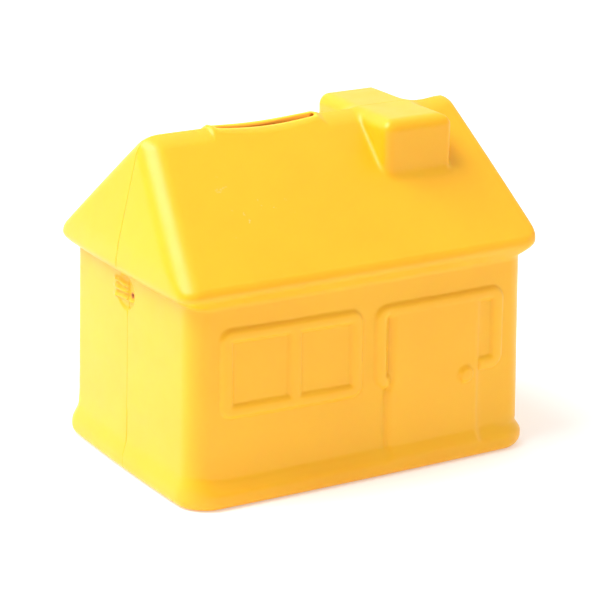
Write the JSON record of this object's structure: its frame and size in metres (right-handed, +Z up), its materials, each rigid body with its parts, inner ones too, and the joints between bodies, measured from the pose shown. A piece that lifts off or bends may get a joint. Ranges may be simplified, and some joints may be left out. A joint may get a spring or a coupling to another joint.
{
  "type": "house-shaped money box",
  "caption": "Hollow house-shaped money box with a coin slot along the ridge, a chimney, moulded windows and door, and a pull-out stopper in the base.",
  "frame": {"origin": "centre of the footprint, on the surface that the money box stands on", "axes": "+X along the ridge towards the chimney end, +Y towards the rear wall, away from the door, +Z up"},
  "size_m": [0.1118, 0.076, 0.0927],
  "materials": {
    "body_plastic": "smooth satin-gloss moulded polyethylene, yellow through and through",
    "stopper_plastic": "soft flexible plastic, yellow, slightly duller than the body"
  },
  "bodies": {
    "house": {"front_shell": "body_plastic", "rear_shell": "body_plastic"},
    "stopper": {"base_stopper": "stopper_plastic"}
  },
  "joints": [
    {"name": "stopper_pull", "type": "slide", "parent": "house", "child": "stopper", "axis": [0, 0, -1], "range_m": [0, 0.014]}
  ]
}
